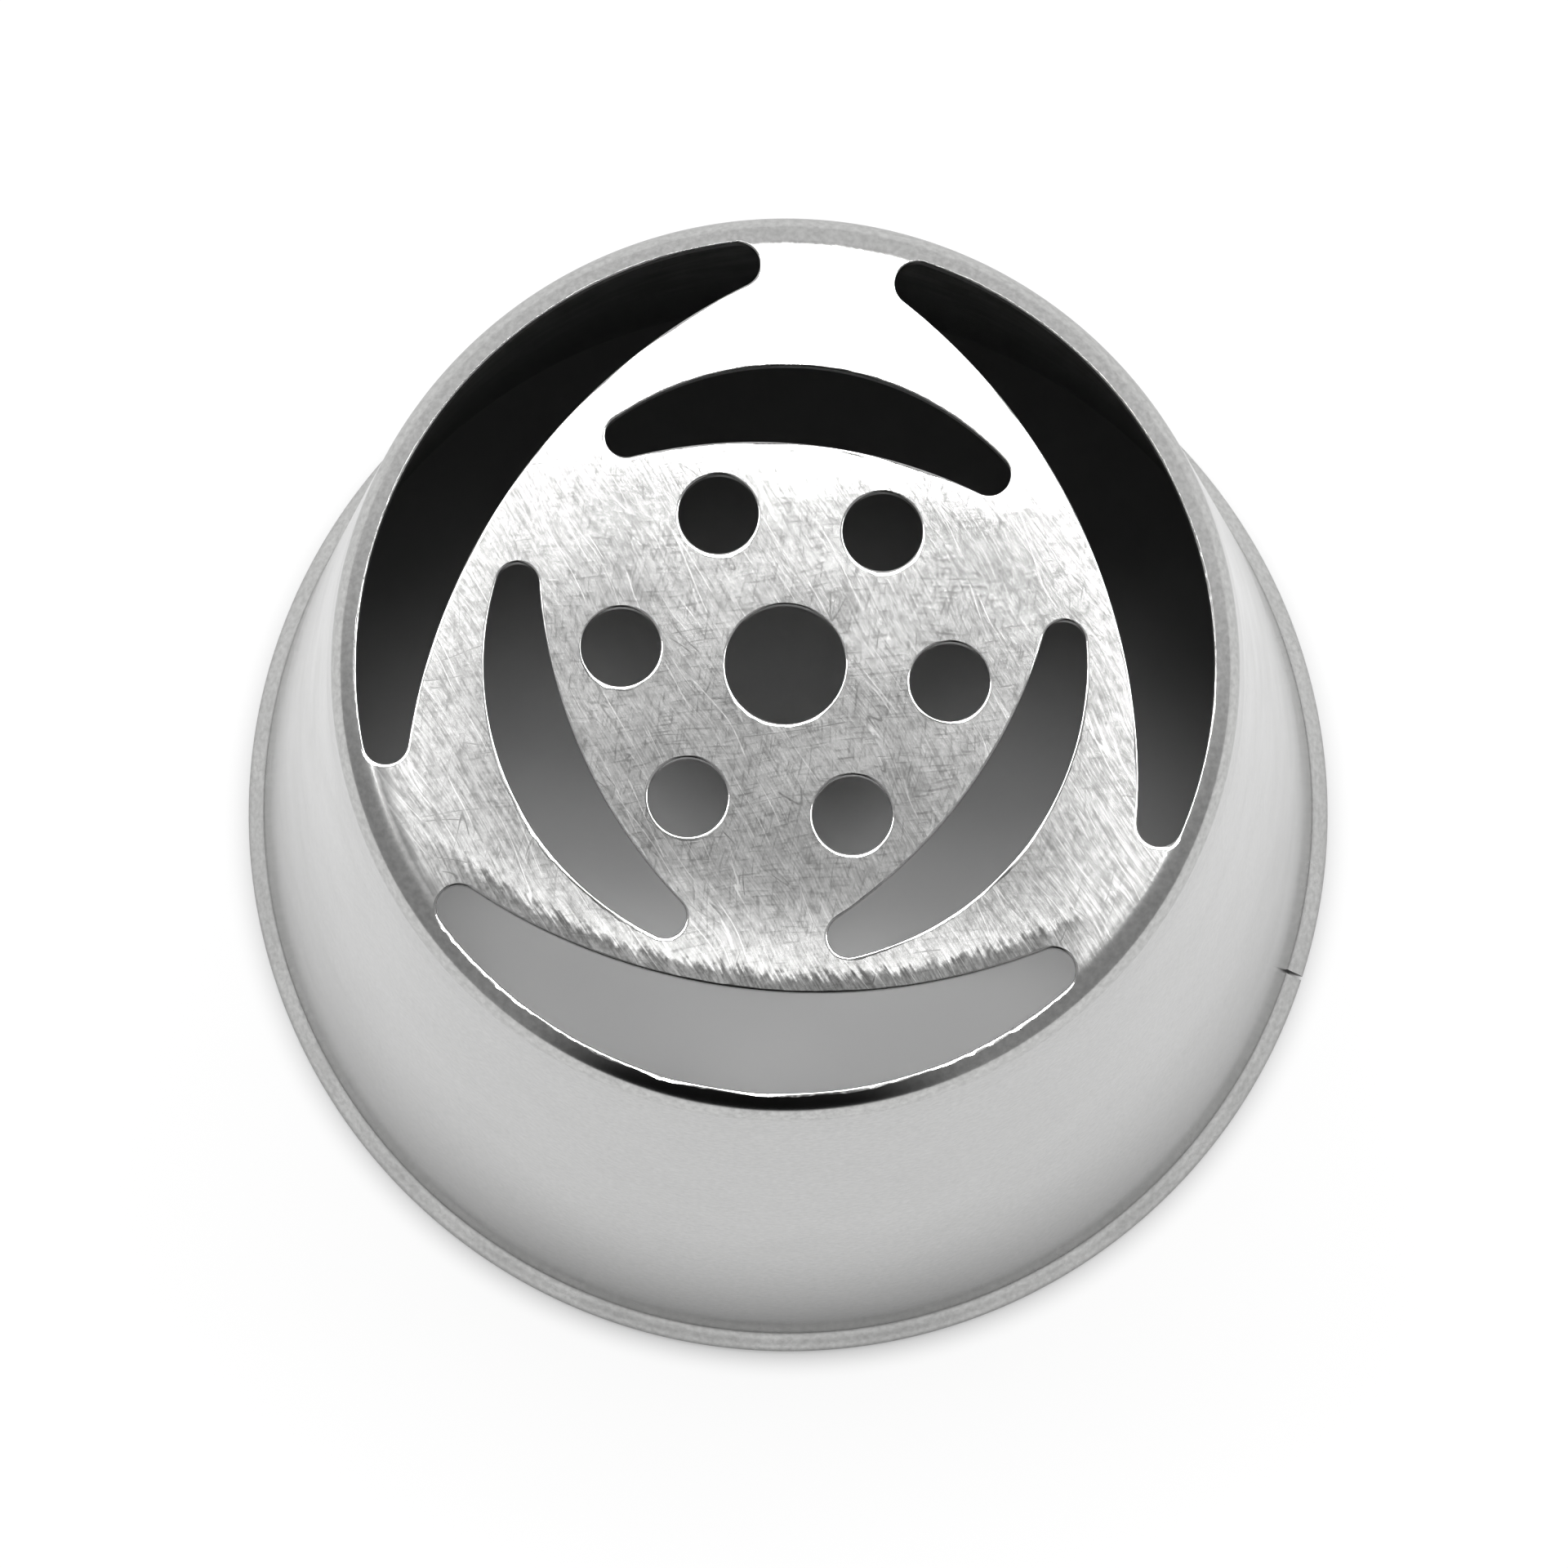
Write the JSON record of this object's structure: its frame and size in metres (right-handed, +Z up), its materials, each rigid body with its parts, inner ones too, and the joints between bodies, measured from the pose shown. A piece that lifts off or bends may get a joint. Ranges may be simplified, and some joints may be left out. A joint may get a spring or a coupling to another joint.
{
  "type": "piping nozzle",
  "caption": "Flower piping nozzle: tapered polished steel shell with a flat face pierced by round holes and crescents, and a half-round rim at the foot.",
  "frame": {"origin": "centre of the foot, on the plane that the nozzle stands on", "axes": "+Z up the axis to the pierced face, -Y through the middle of one outer crescent, towards the viewer"},
  "size_m": [0.033, 0.033, 0.04],
  "materials": {
    "sanded_steel": "stainless steel, polished on the bend and skirt, sanded flat on the face with fine straight scratches",
    "polished_steel": "stainless steel, mirror polished outside, smoother rolled finish inside",
    "rim_steel": "stainless steel, polished with the wall"
  },
  "bodies": {
    "root": {"pattern_cap": "sanded_steel", "tapered_body": "polished_steel", "base_ring": "rim_steel"}
  },
  "joints": []
}
